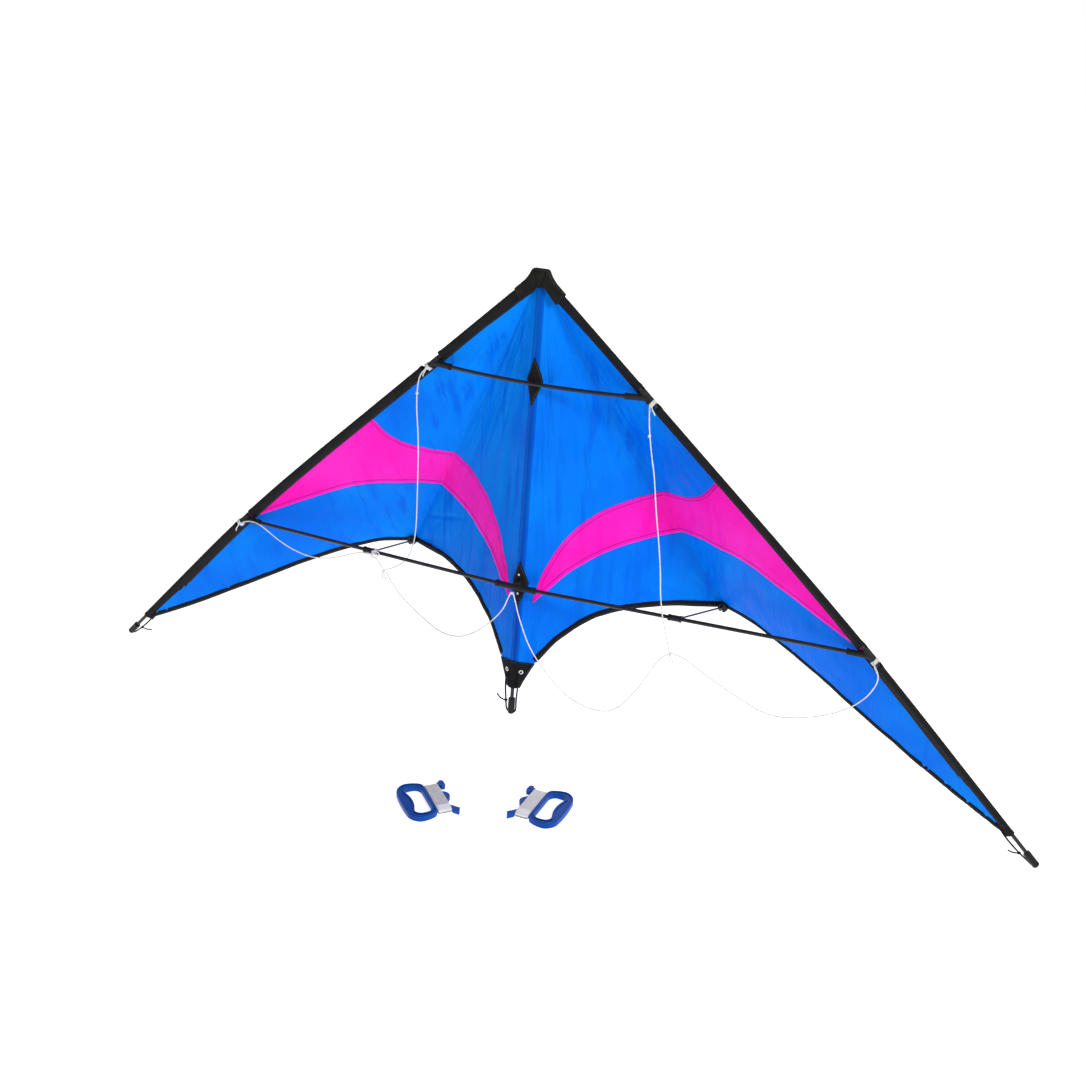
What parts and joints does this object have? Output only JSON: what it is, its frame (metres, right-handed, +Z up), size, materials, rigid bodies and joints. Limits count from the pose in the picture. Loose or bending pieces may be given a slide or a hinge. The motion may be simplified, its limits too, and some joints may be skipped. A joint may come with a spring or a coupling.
{
  "type": "two-line stunt kite with winder handles",
  "caption": "Delta stunt kite: framed blue sail with a pink stripe, bowed spreaders, tow bridle, and two flat winder handles holding wound flying line.",
  "frame": {"origin": "the nose, on the kite's middle plane, where the lines of the two leading edges meet", "axes": "+Z up the spine's plane, +X to the right seen from the bridled front, -Y out of the front of the sail; the kite stands on its wing tips and the handles lie on the same floor at Z -0.770"},
  "size_m": [1.6048, 0.4072, 0.7794],
  "materials": {
    "rod_black": "satin black carbon tube",
    "standoff_black": "satin black glass fibre rod",
    "ferrule_grey": "plain tube, hidden in the rods",
    "cap_black": "satin moulded black",
    "fitting_black": "satin moulded black rubber",
    "clip_black": "satin moulded black",
    "sail_blue": "royal blue ripstop nylon",
    "sail_pink": "fluorescent pink ripstop nylon",
    "binding_black": "black folded tape",
    "sleeve_black": "black woven polyester",
    "nose_black": "black webbing",
    "pocket_blue": "royal blue ripstop nylon",
    "patch_black": "black reinforcing cloth",
    "eyelet_metal": "nickel-plated",
    "bridle_white": "white braided line",
    "elastic_black": "black braided elastic",
    "handle_blue": "royal blue moulded plastic, satin",
    "winding_white": "off-white flying line"
  },
  "bodies": {
    "kite": {"bridle_hitches": "bridle_white", "centre_diamond_patch": "patch_black", "centre_patch_rivets": "eyelet_metal", "centre_tee": "fitting_black", "left_inner_bridle_line": "bridle_white", "left_leading_edge_ferrule": "ferrule_grey", "left_leading_edge_sleeve": "sleeve_black", "left_lower_bridle_line": "bridle_white", "left_lower_leading_edge_rod": "rod_black", "left_lower_sail_panel": "sail_blue", "left_lower_spar_fitting": "fitting_black", "left_lower_spreader": "rod_black", "left_sail_corner_fitting": "clip_black", "left_stripe_sail_panel": "sail_pink", "left_tip_end_cap": "cap_black", "left_tip_eyelet": "eyelet_metal", "left_tip_tension_cord": "elastic_black", "left_tow_knot": "bridle_white", "left_trailing_edge_binding": "binding_black", "left_upper_bridle_line": "bridle_white", "left_upper_leading_edge_rod": "rod_black", "left_upper_sail_panel": "sail_blue", "left_upper_spar_fitting": "fitting_black", "nose_patch": "nose_black", "right_inner_bridle_line": "bridle_white", "right_leading_edge_ferrule": "ferrule_grey", "right_leading_edge_sleeve": "sleeve_black", "right_lower_bridle_line": "bridle_white", "right_lower_leading_edge_rod": "rod_black", "right_lower_sail_panel": "sail_blue", "right_lower_spar_fitting": "fitting_black", "right_lower_spreader": "rod_black", "right_sail_corner_fitting": "clip_black", "right_stripe_sail_panel": "sail_pink", "right_tip_end_cap": "cap_black", "right_tip_eyelet": "eyelet_metal", "right_tip_tension_cord": "elastic_black", "right_tow_knot": "bridle_white", "right_trailing_edge_binding": "binding_black", "right_upper_bridle_line": "bridle_white", "right_upper_leading_edge_rod": "rod_black", "right_upper_sail_panel": "sail_blue", "right_upper_spar_fitting": "fitting_black", "spine_end_cap": "cap_black", "spine_pocket": "pocket_blue", "spine_rod": "rod_black", "tail_eyelets": "eyelet_metal", "tail_patch": "patch_black", "tail_tension_cord": "elastic_black", "upper_diamond_patch": "patch_black", "upper_spreader": "rod_black"},
    "left_standoff": {"left_standoff_clip": "clip_black", "left_standoff_rod": "standoff_black"},
    "right_standoff": {"right_standoff_clip": "clip_black", "right_standoff_rod": "standoff_black"},
    "left_handle_set": {"left_handle": "handle_blue", "left_flying_line": "winding_white"},
    "right_handle_set": {"right_handle": "handle_blue", "right_flying_line": "winding_white"}
  },
  "joints": [
    {"name": "left_standoff_swing", "type": "hinge", "parent": "kite", "child": "left_standoff", "pos_m": [-0.27, -0.02316, -0.47382], "axis": [-0.9922, 0.1207, -0.0324], "range_deg": [0, 70]},
    {"name": "right_standoff_swing", "type": "hinge", "parent": "kite", "child": "right_standoff", "pos_m": [0.245, -0.0262, -0.47301], "axis": [-0.9922, -0.1207, 0.0324], "range_deg": [0, 70]},
    {"name": "left_handle_lift", "type": "slide", "parent": "kite", "child": "left_handle_set", "axis": [0, 0, 1], "range_m": [0, 0.12]},
    {"name": "right_handle_lift", "type": "slide", "parent": "kite", "child": "right_handle_set", "axis": [0, 0, 1], "range_m": [0, 0.12]}
  ]
}
